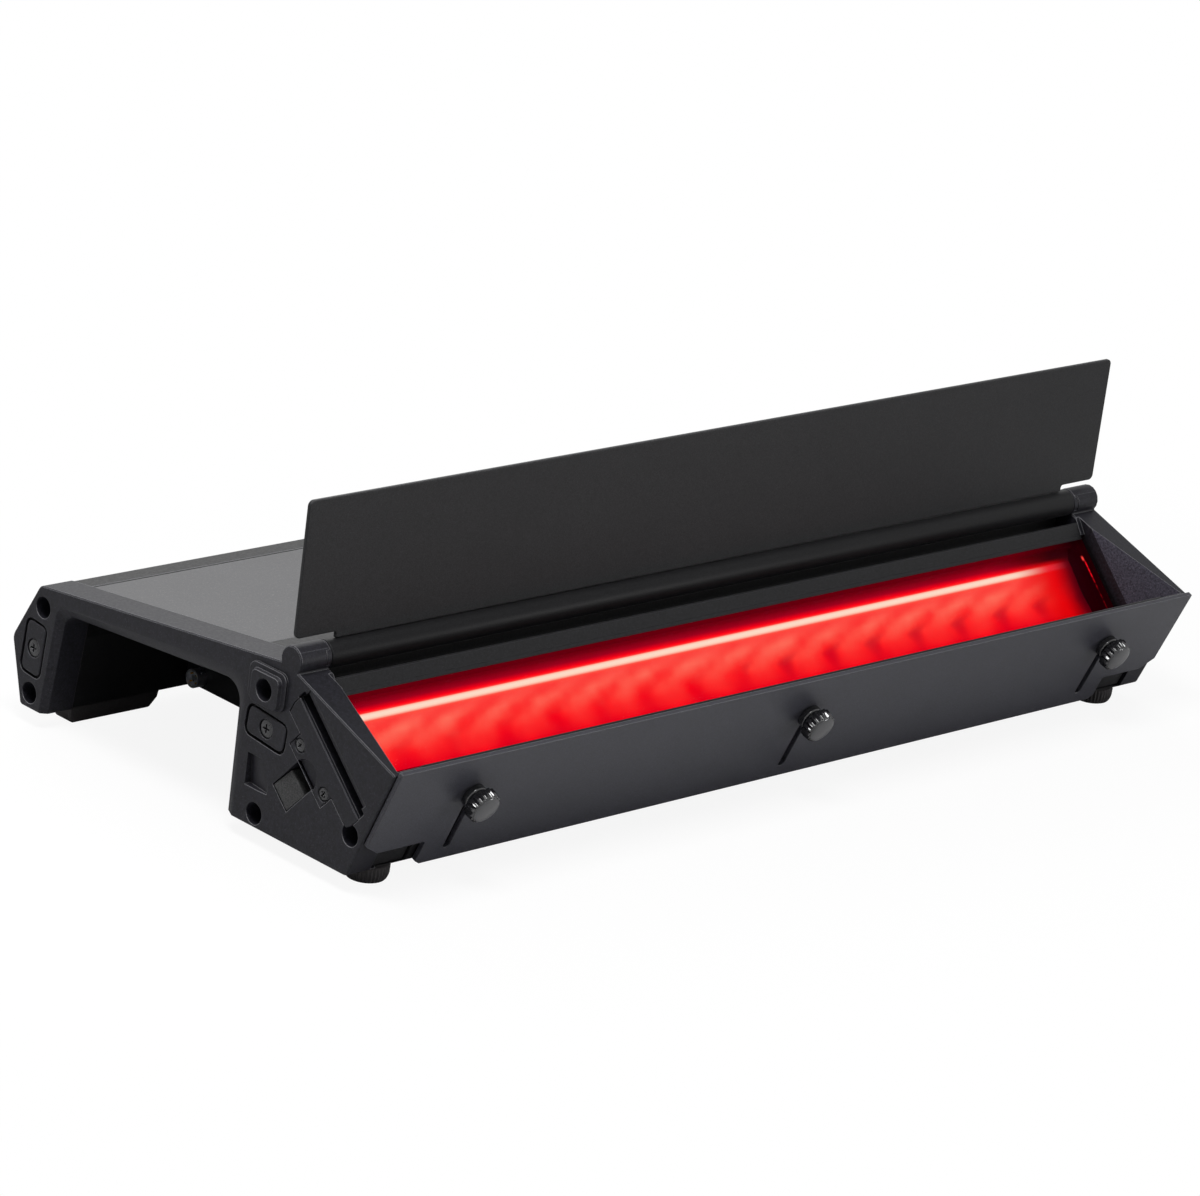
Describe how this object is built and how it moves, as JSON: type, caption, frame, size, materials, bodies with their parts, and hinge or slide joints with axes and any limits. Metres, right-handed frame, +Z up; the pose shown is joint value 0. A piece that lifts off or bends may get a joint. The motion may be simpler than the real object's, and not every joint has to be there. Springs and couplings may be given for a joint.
{
  "type": "cyclorama footlight",
  "caption": "Long low floor light with a lit slot along its front, a hinged top door, a sliding glare plate, levelling feet and linkable cast end caps.",
  "frame": {"origin": "centre of the footprint, at the undersides of the feet", "axes": "+X along the fixture to its right end, -Y to the lit front, +Z up"},
  "size_m": [0.6032, 0.2992, 0.1846],
  "materials": {
    "cast_black": "black powder coat, satin fine texture",
    "extrusion_black": "black powder coat, satin fine texture",
    "deck_grey": "dark grey powder coat, satin fine texture",
    "door_black": "black powder coat, matte fine texture",
    "plate_black": "black powder coat, satin fine texture",
    "rubber_grey": "matte",
    "knob_black": "gloss",
    "screw_steel": "black oxide",
    "latch_metal": "matte grey",
    "window_red": "clear, lit red from behind",
    "reflector_metal": "bright",
    "board_white": "matte",
    "optic_clear": "clear",
    "box_black": "black powder coat, satin",
    "socket_grey": "satin",
    "supply_grey": "satin",
    "driver_green": "satin"
  },
  "bodies": {
    "base": {"bulkhead_left": "box_black", "bulkhead_right": "box_black", "cover_screw_lower_left": "screw_steel", "cover_screw_lower_right": "screw_steel", "cover_screw_upper_left": "screw_steel", "cover_screw_upper_right": "screw_steel", "data_socket_left": "socket_grey", "data_socket_right": "socket_grey", "deck": "deck_grey", "driver_board": "driver_green", "end_cap_left": "cast_black", "end_cap_right": "cast_black", "hinge_pin_left": "screw_steel", "hinge_pin_right": "screw_steel", "latch_cover_left": "cast_black", "latch_cover_right": "cast_black", "led_board": "board_white", "led_optics": "optic_clear", "lens_window": "window_red", "link_plate_front_left": "cast_black", "link_plate_front_right": "cast_black", "link_plate_rear_left": "cast_black", "link_plate_rear_right": "cast_black", "link_screw_front_left": "screw_steel", "link_screw_front_right": "screw_steel", "link_screw_rear_left": "screw_steel", "link_screw_rear_right": "screw_steel", "optic_housing": "extrusion_black", "power_socket_left": "socket_grey", "power_socket_right": "socket_grey", "power_supply": "supply_grey", "rear_foot_left": "rubber_grey", "rear_foot_right": "rubber_grey", "rear_leg": "extrusion_black", "reflector": "reflector_metal", "service_tray": "box_black"},
    "door": {"door": "door_black", "hinge_barrel": "extrusion_black"},
    "glare_plate": {"glare_plate": "plate_black"},
    "collar_left": {"plate_washer_left": "screw_steel"},
    "knob_left": {"thumb_screw_left": "knob_black"},
    "collar_centre": {"plate_washer_centre": "screw_steel"},
    "knob_centre": {"thumb_screw_centre": "knob_black"},
    "collar_right": {"plate_washer_right": "screw_steel"},
    "knob_right": {"thumb_screw_right": "knob_black"},
    "foot_stud_left": {"foot_stud_left": "screw_steel"},
    "front_foot_left": {"front_foot_left": "rubber_grey"},
    "push_button_left": {"push_button_left": "plate_black"},
    "latch_block_left": {"latch_block_left": "latch_metal"},
    "foot_stud_right": {"foot_stud_right": "screw_steel"},
    "front_foot_right": {"front_foot_right": "rubber_grey"},
    "push_button_right": {"push_button_right": "plate_black"},
    "latch_block_right": {"latch_block_right": "latch_metal"}
  },
  "joints": [
    {"name": "door_hinge", "type": "hinge", "parent": "base", "child": "door", "pos_m": [0.0016, -0.0604, 0.10211], "axis": [1, 0, 0], "range_deg": [-96, 108]},
    {"name": "plate_slide", "type": "slide", "parent": "base", "child": "glare_plate", "axis": [0, -0.3853, 0.9228], "range_m": [0, 0.034]},
    {"name": "knob_left_lift", "type": "slide", "parent": "base", "child": "collar_left", "axis": [0, -0.9228, -0.3853], "range_m": [0, 0.0014]},
    {"name": "knob_left_turn", "type": "hinge", "parent": "collar_left", "child": "knob_left", "pos_m": [-0.2384, -0.13936, 0.04689], "axis": [0, -0.9228, -0.3853], "range_deg": [0, 720]},
    {"name": "knob_centre_lift", "type": "slide", "parent": "base", "child": "collar_centre", "axis": [0, -0.9228, -0.3853], "range_m": [0, 0.0014]},
    {"name": "knob_centre_turn", "type": "hinge", "parent": "collar_centre", "child": "knob_centre", "pos_m": [0.0016, -0.13936, 0.04689], "axis": [0, -0.9228, -0.3853], "range_deg": [0, 720]},
    {"name": "knob_right_lift", "type": "slide", "parent": "base", "child": "collar_right", "axis": [0, -0.9228, -0.3853], "range_m": [0, 0.0014]},
    {"name": "knob_right_turn", "type": "hinge", "parent": "collar_right", "child": "knob_right", "pos_m": [0.2416, -0.13936, 0.04689], "axis": [0, -0.9228, -0.3853], "range_deg": [0, 720]},
    {"name": "foot_left_height", "type": "slide", "parent": "base", "child": "foot_stud_left", "axis": [0, 0, -1], "range_m": [0, 0.004]},
    {"name": "foot_left_turn", "type": "hinge", "parent": "foot_stud_left", "child": "front_foot_left", "pos_m": [-0.2738, -0.104, 0.009], "axis": [0, 0, -1], "range_deg": [0, 1800]},
    {"name": "foot_right_height", "type": "slide", "parent": "base", "child": "foot_stud_right", "axis": [0, 0, -1], "range_m": [0, 0.004]},
    {"name": "foot_right_turn", "type": "hinge", "parent": "foot_stud_right", "child": "front_foot_right", "pos_m": [0.277, -0.104, 0.009], "axis": [0, 0, -1], "range_deg": [0, 1800]},
    {"name": "button_left_press", "type": "slide", "parent": "base", "child": "push_button_left", "axis": [0, 0.9228, 0.3853], "range_m": [0, 0.0014], "stiffness_N_per_m": 400, "springref_m": -0.001},
    {"name": "button_right_press", "type": "slide", "parent": "base", "child": "push_button_right", "axis": [0, 0.9228, 0.3853], "range_m": [0, 0.0014], "stiffness_N_per_m": 400, "springref_m": -0.001},
    {"name": "latch_left_slide", "type": "slide", "parent": "base", "child": "latch_block_left", "axis": [0, -0.6743, 0.7385], "range_m": [0, 0.007], "stiffness_N_per_m": 200, "springref_m": -0.005},
    {"name": "latch_right_slide", "type": "slide", "parent": "base", "child": "latch_block_right", "axis": [0, -0.6743, 0.7385], "range_m": [0, 0.007], "stiffness_N_per_m": 200, "springref_m": -0.005}
  ],
  "couplings": [
    {"joint": "knob_left_turn", "follows": "knob_left_lift", "rad_per_m": 8976},
    {"joint": "knob_centre_turn", "follows": "knob_centre_lift", "rad_per_m": 8976},
    {"joint": "knob_right_turn", "follows": "knob_right_lift", "rad_per_m": 8976},
    {"joint": "foot_left_turn", "follows": "foot_left_height", "rad_per_m": 7854},
    {"joint": "foot_right_turn", "follows": "foot_right_height", "rad_per_m": 7854}
  ]
}
